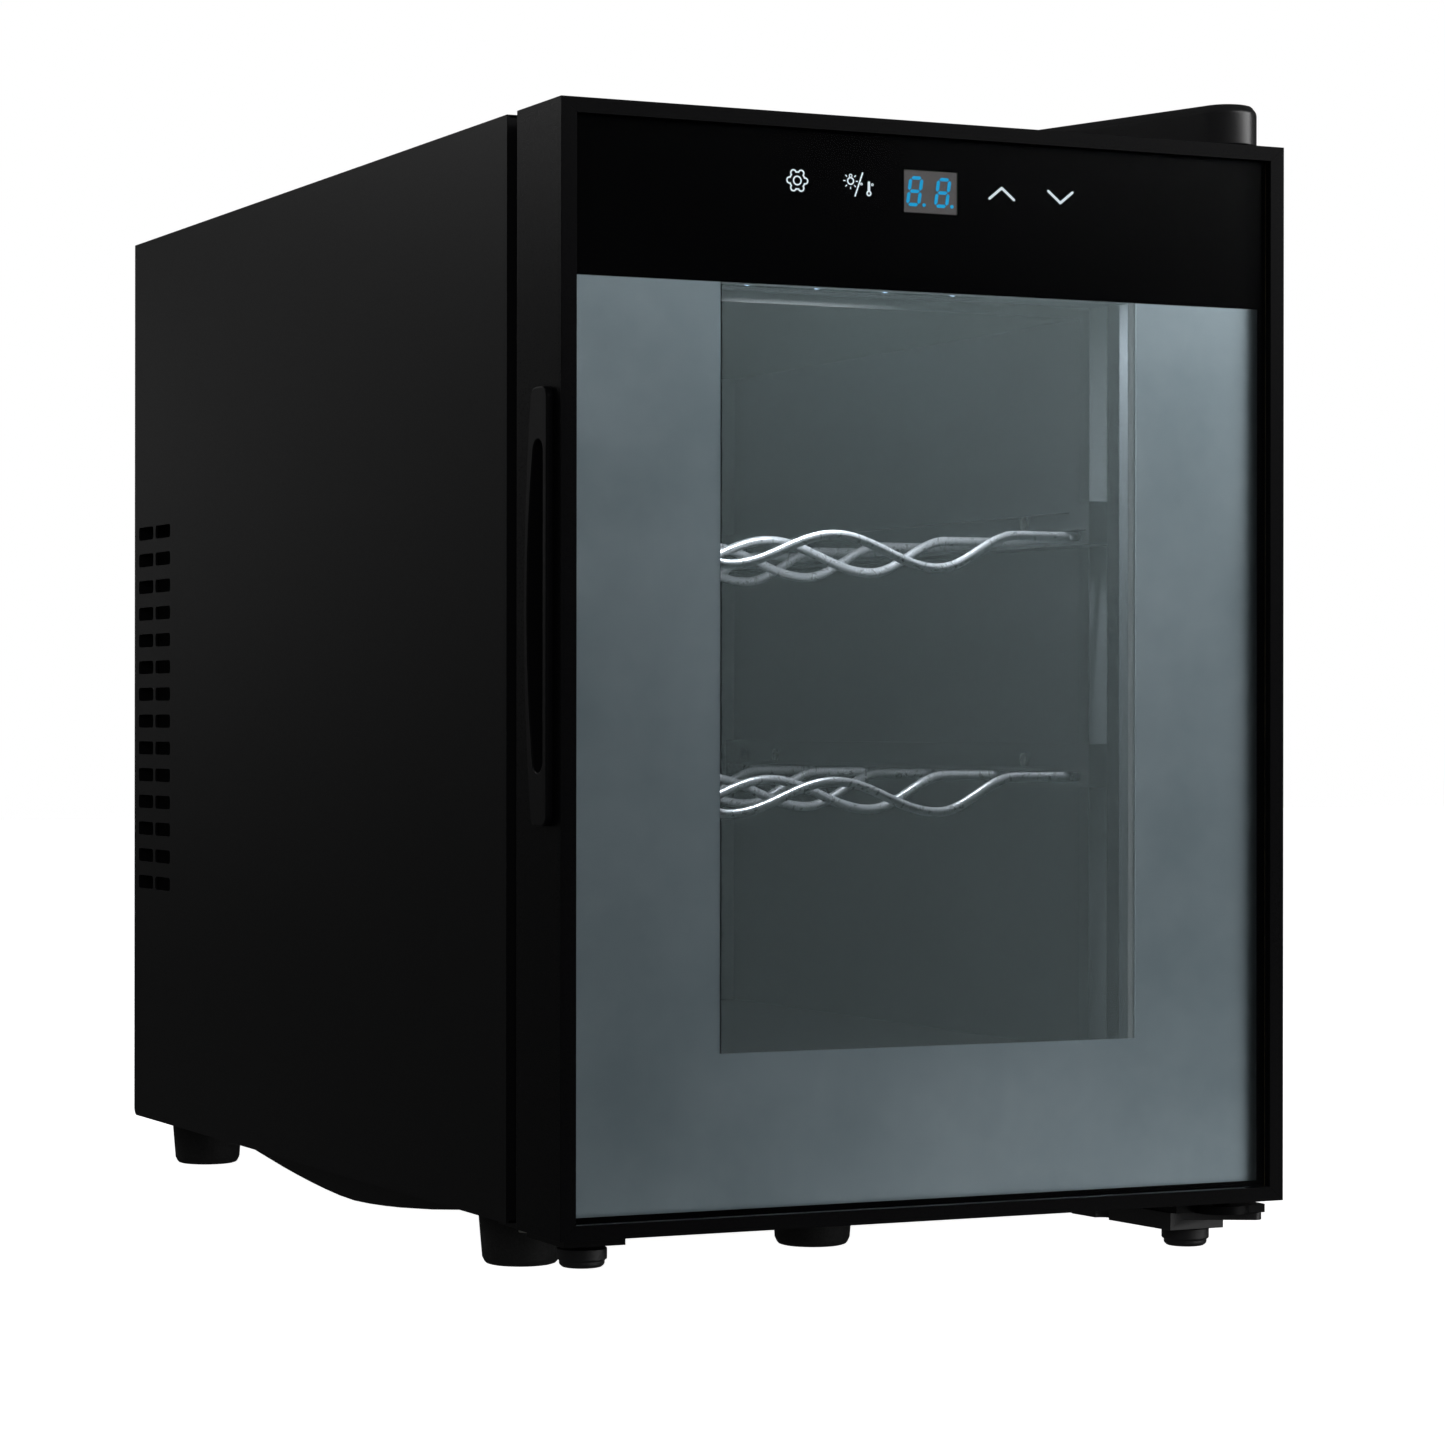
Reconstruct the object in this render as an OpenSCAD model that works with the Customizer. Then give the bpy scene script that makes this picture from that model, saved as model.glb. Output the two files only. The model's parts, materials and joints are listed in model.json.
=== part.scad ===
// Free-standing thermoelectric wine cooler with a right-hinged glass door.
// The frame is +Z up, +Y to the rear, with the origin at the middle of the footprint on the floor.
// All modules below are drawn with x = 0 at the middle of the door, y = 0 on the door's front face
// and z = 0 on the floor. in_frame() then moves them to the part's own frame.

/* [Cabinet] */
// Width of the cabinet and of the door
body_w = 276; // [272:1:290]
// Depth from the door's front face to the back of the cabinet
body_d = 461; // [458:1:480]
// Height of the top of the cabinet above the floor
top_z = 388; // [388:1:400]
// Height of the underside of the cabinet above the floor
base_z = 19; // [18.5:0.5:22]
// Thickness of the coated steel sheet
sheet_t = 1; // [0.8:0.1:1.2]
// Rows of air slots in each side
vent_rows = 14; // [10:1:14]
// Height between two rows of air slots
vent_pitch = 11.28; // [10:0.1:11.5]

/* [Door] */
// Thickness of the door
door_t = 38; // [38:0.5:40]
// Gap between the door and the cabinet
door_gap = 8; // [8:0.5:10]
// Height of the door's lower edge above the floor
door_z = 18; // [17.5:0.5:18.5]
// Width of the frame's border beside the glass
frame_side = 5.6; // [5:0.1:7]
// Height of the frame's border above and below the glass
frame_rail = 5; // [4:0.1:6]
// Width of the clear window
window_w = 159.2; // [150:1:162]
// How far the window sits toward the hinge from the middle of the door
window_x = 2; // [0:0.5:4]
// Height of the window's lower edge above the floor
window_z = 76.3; // [70:0.5:80]
// Height of the lower edge of the black control band
band_z = 331.4; // [325:0.5:332]

/* [Shelves] */
// Diameter of the shelf wire
wire_d = 3.4; // [3:0.1:4]
// Number of wavy wires in a shelf
wire_count = 5; // [4:1:6]
// Distance between two wavy wires
wire_pitch = 53; // [45:1:56]
// Height of the upper shelf's side wires
upper_shelf_z = 253.5; // [250:0.5:256]
// Height of the lower shelf's side wires
lower_shelf_z = 166.1; // [164:0.5:170]

/* [Hidden] */
$fn = 48;

handle_proud = 2.7;
cab_y = door_t + door_gap;
half_w = body_w / 2;
fold = 9;

chamber_half = 105.5;
chamber_floor = 66;
chamber_top = 334;
chamber_back = 380;
liner_t = 1.5;
throat_half = 109.5;
throat_floor = 62;
throat_top = 338;
throat_back = 86;
throat_face = 3;
bulkhead_y = 400;
cover_t = 3;
cooler_z = 222;

vent_h = 5.5;
vent_r = 1.6;
vent_top = 265;
vent_cols = [[411.9, 431.9], [434.9, 454.9]];

hinge_x = 121.5;
hinge_y = 14.2;
pin_r = 3;
running = 0.05;
bush_r = 5.5;

frame_wall = 1.8;
glass_y = 3.3;
glass_t = 4;
print_t = 0.3;
spacer_y = 7.8;
spacer_t = 6;
inner_glass_t = 3;
glass_half = 135;
print_half = 131.6;
print_low = 24.6;
spacer_half = 79;
spacer_w = 6;
pane_half = 92;
pane_low = 63;
pane_high = 345;
liner_y = 17;
liner_half = 88;
liner_low = 67;
liner_high = 341;
door_low = door_z + frame_wall;
door_high = top_z - frame_wall;
gasket_half = 121;
gasket_w = 12;

plate_y = [5.9, 18.8];
plate_z = [152, 295];
plate_bow = 6.1;
slot_y = [9.2, 15];
slot_z = [162.6, 284.5];
slot_bow = 7;
pocket_deep = 12;

rail_in = 93;
rail_y = [58, 362];
side_wire_x = 98;
side_wire_y = [74.5, 352];
first_wire_y = 76.7;
valley_x = 41.4;
valley_drop = 12.4;
crest_rise = 11.2;
bend_x = 73.6;
wave_steps = 20;
wire_sides = 10;

sink_half = 34;
// The belly: its ends, its keel, and how far it has risen 100 mm from the keel
belly_front = 112;
belly_back = 368;
belly_step = 16;
keel_y = 228;
keel_z = 7;
keel_rise = 7;
lamp_half = 50;
lamp_y = [56, 72];
led_x = [-40.5 : 27 : 40.5];
rail_screw_y = [110, 320];
upper_screws = [[106, 66], [101, 88], [118, 78]];
lower_screws = [[100, 60], [100, 82], [122, 82]];
foot_bracket_screws = [[-124, 60], [-109, 60]];
pillar_places = [[-100, 44], [-40, 44], [-100, 96], [-40, 96]];
sink_screw_places = [[-36, cooler_z], [36, cooler_z]];
inlet_at = [70, 60];
cover_places = [[-131, 30], [131, 30], [-131, 200], [131, 200], [-131, 376], [131, 376]];
cover_head_r = 2.6;
screw_clear = 1.5;

foot_h = base_z;
foot_places = [[-116, 86], [-2, 90], [-113, 438], [113, 438]];
level_x = 117;
level_y = 31;
level_lift = 5.4;
stud_r = 3;
stud_top = 16.2;

fan_big = [92, 25, 17];
fan_small = [60, 15, 13];
fan_big_y = 430;
fan_small_y = 369;
blade_t = 1.4;
blade_pitch = 35;
shaft_r = 1.5;

digit_w = 5.4;
digit_h = 10.2;
digit_x = [-6.1, 4.6];
digit_lean = 0.14;
stroke = 1.15;
segment_gap = 0.3;
display_x = 1.3;
display_z = 365.5;
symbol_x = [-51.4, -28.4, 26.3, 49.3];
symbol_z = 365.9;
symbol_y = glass_y - 0.12;
symbol_t = 0.12;
symbol_line = 0.5;
chevron_w = 0.85;
gear_r = 2.85;

steel_black = [0.06, 0.06, 0.065];
plastic_black = [0.035, 0.035, 0.04];
chrome = [0.8, 0.81, 0.83];
alloy = [0.72, 0.73, 0.75];

module in_frame() {
    translate([handle_proud / 2, -body_d / 2, 0]) children();
}

// A box between two corners.
module block(low, high) {
    translate(low) cube(high - low);
}

// A box with a rectangular opening through it along Y.
module ring_y(half, low, high, y0, y1, in_half, in_low, in_high) {
    difference() {
        block([-half, y0, low], [half, y1, high]);
        block([-in_half, y0 - 1, in_low], [in_half, y1 + 1, in_high]);
    }
}

// A cylinder along Y, starting at y0.
module rod_y(x, z, r, y0, y1) {
    translate([x, y0, z]) rotate([-90, 0, 0]) cylinder(h = y1 - y0, r = r);
}

module rod_z(x, y, r, z0, z1) {
    translate([x, y, z0]) cylinder(h = z1 - z0, r = r);
}

// A pan-head screw whose shank points along -Z from the origin.
module screw(head_r, head_h, shank_r, shank_l) {
    difference() {
        cylinder(h = head_h, r = head_r);
        for (a = [0, 90]) rotate(a) block([-head_r * 0.6, -0.4, head_h - 0.7], [head_r * 0.6, 0.4, head_h + 1]);
    }
    translate([0, 0, -shank_l]) cylinder(h = shank_l + 0.01, r = shank_r);
}

// A flat outline with rounded corners, made of exact arcs.
module round_rect(low, high, r) {
    translate(low + [r, 0]) square(high - low - [2 * r, 0]);
    translate(low + [0, r]) square(high - low - [0, 2 * r]);
    for (x = [low[0] + r, high[0] - r], y = [low[1] + r, high[1] - r])
        translate([x, y]) circle(r = r, $fn = 32);
}

// ---- Cabinet shell ----

// Outline of a side sheet in the Y-Z plane, with its air slots and a rounded lower rear corner.
module side_outline() {
    corner_r = 3.3;
    difference() {
        union() {
            translate([cab_y, base_z]) square([body_d - cab_y - corner_r, top_z - base_z]);
            translate([cab_y, base_z + corner_r]) square([body_d - cab_y, top_z - base_z - corner_r]);
            translate([body_d - corner_r, base_z + corner_r]) circle(r = corner_r, $fn = 32);
        }
        for (row = [0 : vent_rows - 1], col = vent_cols)
            translate([0, vent_top - row * vent_pitch - vent_h / 2])
                round_rect([col[0], 0], [col[1], vent_h], vent_r);
    }
}

// The left side sheet: the wall, the folded front edge and the rear flange that holds the cover.
module side_sheet() {
    color(steel_black) {
        translate([-half_w, 0, 0]) rotate([90, 0, 90]) linear_extrude(sheet_t) side_outline();
        block([-half_w + 0.5, cab_y, base_z], [-half_w + fold, cab_y + sheet_t, top_z]);
        difference() {
            block([-half_w + 0.5, body_d - cover_t - 2 * sheet_t, base_z + 6],
                  [-half_w + fold, body_d - cover_t - sheet_t, top_z - 6]);
            for (p = cover_places) rod_y(p[0], p[1], screw_clear, body_d - 10, body_d);
        }
    }
}

module left_side_panel() {
    side_sheet();
}

module right_side_panel() {
    mirror([1, 0, 0]) side_sheet();
}

module top_panel() {
    color(steel_black) {
        difference() {
            block([-half_w + sheet_t, cab_y, top_z - sheet_t], [half_w - sheet_t, body_d, top_z]);
            for (p = upper_screws) rod_z(p[0], p[1], 1.8, top_z - 3, top_z + 1);
        }
        block([-half_w + fold, cab_y, top_z - fold], [half_w - fold, cab_y + sheet_t, top_z - 0.5]);
    }
}

// The floor of the cabinet, with the belly that hangs below its middle.
module base_pan() {
    belly_half = 126;
    color(steel_black) difference() {
        union() {
            block([-half_w + sheet_t, cab_y, base_z], [half_w - sheet_t, body_d, base_z + sheet_t]);
            block([-half_w + fold, cab_y, base_z + 0.5], [half_w - fold, cab_y + sheet_t, base_z + fold]);
            belly(belly_half, base_z + 0.5);
        }
        translate([0, 0, 1.2 * sheet_t]) belly(belly_half - sheet_t, base_z + 2);
        for (p = foot_places) rod_z(p[0], p[1], 2.1, base_z - 1, base_z + 2);
        for (p = concat(lower_screws, foot_bracket_screws)) rod_z(p[0], p[1], 1.8, base_z - 1, base_z + 2);
    }
}

// Height of the belly's skin at y: lowest at the keel, rising ever faster toward both ends.
function belly_height(y) = keel_z + keel_rise * pow(abs(y - keel_y) / 100, 1.5);

// A shallow hull that runs from side to side and ends level at top.
module belly(half, top) {
    skin = [for (y = [belly_front : belly_step : belly_back]) [y, belly_height(y)]];
    translate([-half, 0, 0]) rotate([90, 0, 90]) linear_extrude(2 * half)
        polygon(concat([[belly_back, top], [belly_front, top]], skin));
}

// The collar round the mouth of the chamber.
module throat_frame() {
    color([0.13, 0.14, 0.145]) {
        ring_y(half_w - fold, base_z + fold, top_z - fold, cab_y, cab_y + throat_face,
               throat_half, throat_floor, throat_top);
        difference() {
            ring_y(throat_half + liner_t, throat_floor - liner_t, throat_top + liner_t,
                   cab_y + 1, throat_back, throat_half, throat_floor, throat_top);
            block([-lamp_half, lamp_y[0], throat_top - 1], [lamp_half, lamp_y[1], throat_top + 3]);
        }
    }
}

// The tub that holds the bottles, with the opening for the cold plate and a recess for the lamp.
module inner_liner() {
    color([0.08, 0.085, 0.09]) difference() {
        union() {
            block([-chamber_half - liner_t, throat_back, chamber_floor - liner_t],
                  [chamber_half + liner_t, chamber_back + liner_t, chamber_top + liner_t]);
            ring_y(throat_half + liner_t, throat_floor - liner_t, throat_top + liner_t,
                   throat_back, throat_back + liner_t, chamber_half, chamber_floor, chamber_top);
        }
        block([-chamber_half, throat_back - 1, chamber_floor], [chamber_half, chamber_back, chamber_top]);
        block([-sink_half, chamber_back - 1, cooler_z - sink_half],
              [sink_half, chamber_back + 5, cooler_z + sink_half]);
        for (z = [upper_shelf_z, lower_shelf_z], y = rail_screw_y, s = [-1, 1])
            translate([s * (chamber_half - 1), y, z + 6]) rotate([0, s * 90, 0]) cylinder(h = 5, r = 1.4);
    }
}

// The rigid foam between the tub and the sheets.
module foam_insulation() {
    out = half_w - sheet_t - 0.2;
    color([0.85, 0.8, 0.62]) difference() {
        block([-out, cab_y + throat_face + 0.2, base_z + sheet_t + fold],
              [out, bulkhead_y - 0.2, top_z - fold - 0.2]);
        block([-throat_half - liner_t - 0.2, cab_y, throat_floor - liner_t - 0.2],
              [throat_half + liner_t + 0.2, throat_back + liner_t + 0.2, throat_top + liner_t + 0.2]);
        block([-chamber_half - liner_t - 0.2, throat_back, chamber_floor - liner_t - 0.2],
              [chamber_half + liner_t + 0.2, chamber_back + liner_t + 0.2, chamber_top + liner_t + 0.2]);
        block([-sink_half - 1, chamber_back, cooler_z - sink_half - 1],
              [sink_half + 1, bulkhead_y + 1, cooler_z + sink_half + 1]);
        block([-lamp_half - 1, lamp_y[0] - 1, throat_top], [lamp_half + 1, lamp_y[1] + 1, throat_top + 12]);
        for (z = [upper_shelf_z, lower_shelf_z], y = rail_screw_y, s = [-1, 1])
            translate([s * chamber_half, y, z + 6]) rotate([0, s * 90, 0]) cylinder(h = 16, r = 2);
    }
}

// The steel wall between the foam and the machine space.
module rear_bulkhead() {
    color([0.45, 0.46, 0.48]) difference() {
        block([-half_w + sheet_t + 0.2, bulkhead_y, base_z + sheet_t + 0.2],
              [half_w - sheet_t - 0.2, bulkhead_y + sheet_t, top_z - sheet_t - 0.2]);
        block([-sink_half + 4, bulkhead_y - 1, cooler_z - sink_half + 4],
              [sink_half - 4, bulkhead_y + 2, cooler_z + sink_half - 4]);
        for (p = pillar_places) rod_y(p[0], p[1], 1.6, bulkhead_y - 1, bulkhead_y + 2);
    }
}

// The rear cover, with the fan grille, rows of air slots and the inlet's opening.
module rear_cover() {
    low = [-half_w + sheet_t + 0.3, base_z + sheet_t + 0.3];
    high = [half_w - sheet_t - 0.3, top_z - sheet_t - 0.3];
    color(plastic_black) difference() {
        translate([0, body_d, 0]) rotate([90, 0, 0]) linear_extrude(cover_t) difference() {
            round_rect(low, high, 3);
            translate([0, cooler_z]) for (r = [12 : 7 : 42], a = [0 : 90 : 270])
                rotate(a + 45) arc_slot(r, 4, 78);
            for (s = [-1, 1], row = [0 : 9]) translate([s * 64, 298 + row * 7.5])
                round_rect([-50, -2], [50, 2], 1.6);
            translate(inlet_at) square([28.4, 21.4], center = true);
            for (p = cover_places) translate(p) circle(r = screw_clear);
        }
        for (p = cover_places) rod_y(p[0], p[1], cover_head_r + 0.3, body_d - 1.5, body_d + 1);
    }
}

// A slot that follows an arc of the given radius, centred on the +X direction.
module arc_slot(r, w, sweep) {
    difference() {
        circle(r = r + w);
        circle(r = r);
        for (s = [-1, 1]) rotate(s * (sweep / 2 + 90)) translate([0, -100]) square([200, 200]);
    }
}

module cover_screws() {
    color("dimgray") for (p = cover_places)
        translate([p[0], body_d - 1.4, p[1]]) rotate([-90, 0, 0]) screw(cover_head_r, 1.3, 1.2, 5);
}

// ---- Cooling unit ----

// The finned cold plate in the chamber's rear opening.
module cold_sink() {
    half = sink_half - 2;
    color(alloy) {
        block([-half, 392, cooler_z - half], [half, 396, cooler_z + half]);
        block([-20.5, 395.9, cooler_z - 20.5], [20.5, 400.8, cooler_z + 20.5]);
        for (i = [0 : 12]) translate([-half + 0.6 + i * (2 * half - 2.4) / 12, 385.5, cooler_z - half])
            cube([1.2, 6.6, 2 * half]);
    }
}

module inner_fan_cover() {
    half = 46;
    wall = 1.6;
    front = 362;
    color([0.09, 0.095, 0.1]) difference() {
        block([-half, front, cooler_z - half], [half, chamber_back - 0.1, cooler_z + half]);
        block([-half + wall, front + wall, cooler_z - half + wall],
              [half - wall, chamber_back + 1, cooler_z + half - wall]);
        translate([0, front + wall + 1, cooler_z]) rotate([90, 0, 0]) linear_extrude(wall + 2) {
            for (r = [6 : 5 : 24], a = [0 : 90 : 270]) rotate(a + 45) arc_slot(r, 3, 76);
        }
        for (s = [-1, 1], i = [-4 : 4])
            block([i * 9 - 3, front + 6, cooler_z + s * half - 2],
                  [i * 9 + 3, front + 14, cooler_z + s * half + 2]);
    }
}

// An axial fan's frame: [side, depth, hub radius], with its air hole and the motor base on four arms.
module fan_frame(fan, y0) {
    side = fan[0];
    bore = side / 2 - 2.2;
    color([0.03, 0.03, 0.032]) translate([0, y0, cooler_z]) {
        rotate([-90, 0, 0]) {
            linear_extrude(fan[1]) difference() {
                round_rect([-side / 2, -side / 2], [side / 2, side / 2], 4);
                circle(r = bore, $fn = 96);
                for (x = [-1, 1], y = [-1, 1]) translate([x, y] * (side / 2 - 5)) circle(r = 2.15);
            }
            difference() {
                union() {
                    cylinder(h = 3, r = fan[2]);
                    for (a = [0 : 90 : 270]) rotate(a + 20) block([0, -2, 0], [bore + 0.8, 2, 2.5]);
                }
                translate([0, 0, -1]) cylinder(h = 6, r = shaft_r + running);
            }
        }
    }
}

// The fan's turning part: the hub cup, its shaft and the pitched blades.
module fan_rotor(fan, y0) {
    tip = fan[0] / 2 - 3.4;
    depth = fan[1] - 6;
    color([0.05, 0.05, 0.055]) translate([0, y0, cooler_z]) rotate([-90, 0, 0]) {
        difference() {
            translate([0, 0, 3.6]) cylinder(h = fan[1] - 4.6, r = fan[2]);
            translate([0, 0, 3.5]) cylinder(h = 1.5, r = fan[2] - 1.2);
        }
        translate([0, 0, 0.4]) cylinder(h = 5, r = shaft_r);
        intersection() {
            translate([0, 0, 4]) cylinder(h = depth, r = tip, $fn = 96);
            for (a = [0 : 360 / 7 : 359]) rotate(a) translate([0, 0, 4 + depth / 2]) rotate([blade_pitch, 0, 0])
                block([fan[2] - 1, -fan[1], -blade_t / 2], [tip + 5, fan[1], blade_t / 2]);
        }
    }
}

module inner_fan_frame() {
    fan_frame(fan_small, fan_small_y);
}

module inner_fan_rotor() {
    fan_rotor(fan_small, fan_small_y);
}

module rear_fan_frame() {
    fan_frame(fan_big, fan_big_y);
}

module rear_fan_rotor() {
    fan_rotor(fan_big, fan_big_y);
}

module thermoelectric_module() {
    color("white") block([-20, 400.9, cooler_z - 20], [20, 404.8, cooler_z + 20]);
}

// The foam ring that keeps damp air off the module.
module module_gasket() {
    color([0.2, 0.2, 0.2]) ring_y(29.5, cooler_z - 29.5, cooler_z + 29.5, 396.1, 404.9,
                                  20.7, cooler_z - 20.7, cooler_z + 20.7);
}

// The finned hot plate that the rear fan blows on.
module hot_sink() {
    half = 45;
    color(alloy) difference() {
        union() {
            block([-half, 405, cooler_z - half], [half, 410, cooler_z + half]);
            for (i = [0 : 17]) translate([-half + i * (2 * half - 1.4) / 17, 409.9, cooler_z - half])
                cube([1.4, 19.9, 2 * half]);
        }
        for (p = sink_screw_places) rod_y(p[0], p[1], 4.4, 410, 440);
        for (p = sink_screw_places) rod_y(p[0], p[1], 1.7, 400, 411);
    }
}

module sink_screws() {
    color("silver") for (p = sink_screw_places)
        translate([p[0], 410.05, p[1]]) rotate([-90, 0, 0]) screw(3.6, 2.4, 1.5, 8.8);
}

module fan_screws() {
    color("silver") for (x = [-1, 1], z = [-1, 1])
        translate([x * (fan_big[0] / 2 - 5), fan_big_y + fan_big[1] + 0.05,
                   cooler_z + z * (fan_big[0] / 2 - 5)])
            rotate([-90, 0, 0]) screw(3.4, 1.8, 1.4, 24);
}

// The mains power board, standing on four pillars.
module power_board() {
    y0 = 411;
    color([0.1, 0.32, 0.16]) difference() {
        block([-106, y0, 38], [-34, y0 + 1.6, 102]);
        for (p = pillar_places) rod_y(p[0], p[1], 1.6, y0 - 1, y0 + 3);
    }
    color([0.75, 0.65, 0.2]) block([-84, y0 + 1.5, 50], [-58, y0 + 22, 74]);
    color([0.12, 0.12, 0.14]) for (x = [-94, -48]) rod_y(x, 70, 7, y0 + 1.5, y0 + 25);
    color("silver") block([-92, y0 + 1.5, 84], [-50, y0 + 20, 88]);
    color("white") block([-76, y0 + 1.5, 92], [-56, y0 + 10, 98]);
}

module board_pillars() {
    color("beige") for (p = pillar_places) {
        rod_y(p[0], p[1], 3, bulkhead_y + sheet_t, 411);
        rod_y(p[0], p[1], 1.5, 410, 414);
    }
}

// The mains inlet: a shrouded socket with three blades, held in the rear cover.
module power_inlet() {
    y1 = body_d - 0.4;
    y0 = y1 - 18;
    half = [13.9, 10.4];
    color(plastic_black) difference() {
        block([inlet_at[0] - half[0], y0, inlet_at[1] - half[1]],
              [inlet_at[0] + half[0], y1, inlet_at[1] + half[1]]);
        block([inlet_at[0] - 12.2, y0 + 2, inlet_at[1] - 8.2], [inlet_at[0] + 12.2, y1 + 1, inlet_at[1] + 8.2]);
    }
    color("silver") for (p = [[-7, -2], [0, 2], [7, -2]])
        block([inlet_at[0] + p[0] - 1, y0 - 5, inlet_at[1] + p[1] - 2],
              [inlet_at[0] + p[0] + 1, y0 + 11, inlet_at[1] + p[1] + 2]);
}

// ---- Chamber fittings ----

module lamp_board() {
    middle = (lamp_y[0] + lamp_y[1]) / 2;
    color("white")
        block([3 - lamp_half, lamp_y[0] + 3, throat_top + 5], [lamp_half - 3, lamp_y[1] - 3, throat_top + 6.4]);
    color("lightyellow") for (x = led_x)
        block([x - 1.8, middle - 1.8, throat_top + 4.2], [x + 1.8, middle + 1.8, throat_top + 5.1]);
}

module lamp_lens() {
    color([0.9, 0.95, 1, 0.6]) difference() {
        union() {
            block([-lamp_half + 0.3, lamp_y[0] + 0.3, throat_top - 0.1],
                  [lamp_half - 0.3, lamp_y[1] - 0.3, throat_top + 3.5]);
            block([-lamp_half - 2, lamp_y[0] - 2, throat_top - 1.2],
                  [lamp_half + 2, lamp_y[1] + 2, throat_top - 0.05]);
        }
        block([-lamp_half + 2, lamp_y[0] + 2, throat_top - 0.4],
              [lamp_half - 2, lamp_y[1] - 2, throat_top + 4]);
    }
}

module thermistor() {
    color("white") {
        block([-chamber_half + 0.1, 240, 290], [-chamber_half + 3, 256, 312]);
        rod_z(-chamber_half + 4.5, 248, 2, 284, 306);
    }
}

// One black side rail: a block with a channel for the shelf's side wire and a thin lip below it.
module rail(z) {
    wall = chamber_half - 0.05;
    color(plastic_black) {
        difference() {
            block([rail_in, rail_y[0], z - 3.5], [wall, rail_y[1], z + 12]);
            block([rail_in - 1, rail_y[0] + 2.4, z - 2], [side_wire_x + 2.2, rail_y[1] - 2.4, z + 2.1]);
            block([rail_in - 1, rail_y[0] + 14, z + 3.5], [rail_in + 3.5, rail_y[1] - 14, z + 8.6]);
            for (y = rail_screw_y)
                translate([rail_in + 2, y, z + 6]) rotate([0, 90, 0]) cylinder(h = 20, r = 1.7);
        }
        block([rail_in + 6, rail_y[0], z - 3.5], [wall, rail_y[0] + 2.4, z + 12]);
    }
}

module rail_pair(z) {
    rail(z);
    mirror([1, 0, 0]) rail(z);
}

module upper_shelf_rails() {
    rail_pair(upper_shelf_z);
}

module lower_shelf_rails() {
    rail_pair(lower_shelf_z);
}

module rail_screws() {
    color("silver") for (z = [upper_shelf_z, lower_shelf_z], y = rail_screw_y, s = [-1, 1])
        translate([s * (rail_in + 3.45), y, z + 6]) rotate([0, -s * 90, 0]) screw(2.3, 1.2, 1.2, 18);
}

// Height of the wavy wire's centre above the side wires at a distance x from the middle.
function wave_z(x) =
    abs(x) < valley_x ? -valley_drop + crest_rise / 2 * (1 + cos(180 * x / valley_x))
    : abs(x) < bend_x ? -valley_drop / 2 * (1 + cos(180 * (abs(x) - valley_x) / (bend_x - valley_x)))
    : 0;

// One wavy wire, swept along its curve with a round section.
module wavy_wire() {
    reach = side_wire_x - 0.4;
    xs = [for (i = [-wave_steps : wave_steps]) reach * i / wave_steps];
    slopes = [for (x = xs) atan2(wave_z(x + 0.5) - wave_z(x - 0.5), 1)];
    rings = [for (k = [0 : len(xs) - 1], j = [0 : wire_sides - 1]) let (a = 360 * j / wire_sides)
        [xs[k] - wire_d / 2 * sin(slopes[k]) * cos(a), wire_d / 2 * sin(a),
         wave_z(xs[k]) + wire_d / 2 * cos(slopes[k]) * cos(a)]];
    sides = [for (k = [0 : len(xs) - 2], j = [0 : wire_sides - 1]) let (n = (j + 1) % wire_sides)
        [k * wire_sides + j, k * wire_sides + n, (k + 1) * wire_sides + n, (k + 1) * wire_sides + j]];
    first = [for (j = [0 : wire_sides - 1]) wire_sides - 1 - j];
    last = [for (j = [0 : wire_sides - 1]) (len(xs) - 1) * wire_sides + j];
    polyhedron(points = rings, faces = concat([first], sides, [last]));
}

// A wire shelf: two side wires and the wavy wires that cradle two bottles.
module wire_shelf(z) {
    color(chrome) translate([0, 0, z]) {
        for (s = [-1, 1]) rod_y(s * side_wire_x, 0, wire_d / 2, side_wire_y[0], side_wire_y[1]);
        for (i = [0 : wire_count - 1]) translate([0, first_wire_y + i * wire_pitch, 0]) wavy_wire();
    }
}

module upper_shelf() {
    wire_shelf(upper_shelf_z);
}

module lower_shelf() {
    wire_shelf(lower_shelf_z);
}

// ---- Feet ----

module cabinet_feet() {
    pad = 2.5;
    color([0.04, 0.04, 0.042]) for (p = foot_places) translate([p[0], p[1], 0]) difference() {
        rotate_extrude() polygon([[0, 0], [12.2, 0], [13.4, pad], [14.8, foot_h - 0.05], [0, foot_h - 0.05]]);
        translate([0, 0, -1]) cylinder(h = 9, r = 5);
        translate([0, 0, 4]) cylinder(h = 20, r = 2.1);
    }
}

module foot_screws() {
    color("silver") for (p = foot_places) translate([p[0], p[1], 7.9]) mirror([0, 0, 1]) screw(4, 2.2, 2, 14);
}

// A screw foot, lifted off the floor by the given height: the pad, the wider collar and the stud.
module levelling_foot(x, lift) {
    color([0.05, 0.05, 0.052]) translate([x, level_y, lift]) {
        rotate_extrude() polygon([[0, 0], [6.5, 0], [7.6, 1], [7.6, 2.4], [8.4, 2.6], [8.4, 6.4], [0, 6.4]]);
        cylinder(h = stud_top - lift, r = stud_r);
    }
}

module right_levelling_foot() {
    levelling_foot(level_x, 0);
}

module left_levelling_foot() {
    levelling_foot(-level_x, level_lift);
}

// ---- Hinges ----

// The front left bracket that carries a levelling foot in front of the cabinet.
module foot_bracket() {
    color(steel_black) difference() {
        union() {
            block([-131, 50, 16], [-102, 70, base_z - 0.05]);
            block([-128, 20, 13.2], [-106, 52, 16.2]);
        }
        rod_z(-level_x, level_y, stud_r + running, 10, 20);
        for (p = foot_bracket_screws) rod_z(p[0], p[1], 1.8, 10, 20);
    }
}

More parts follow.
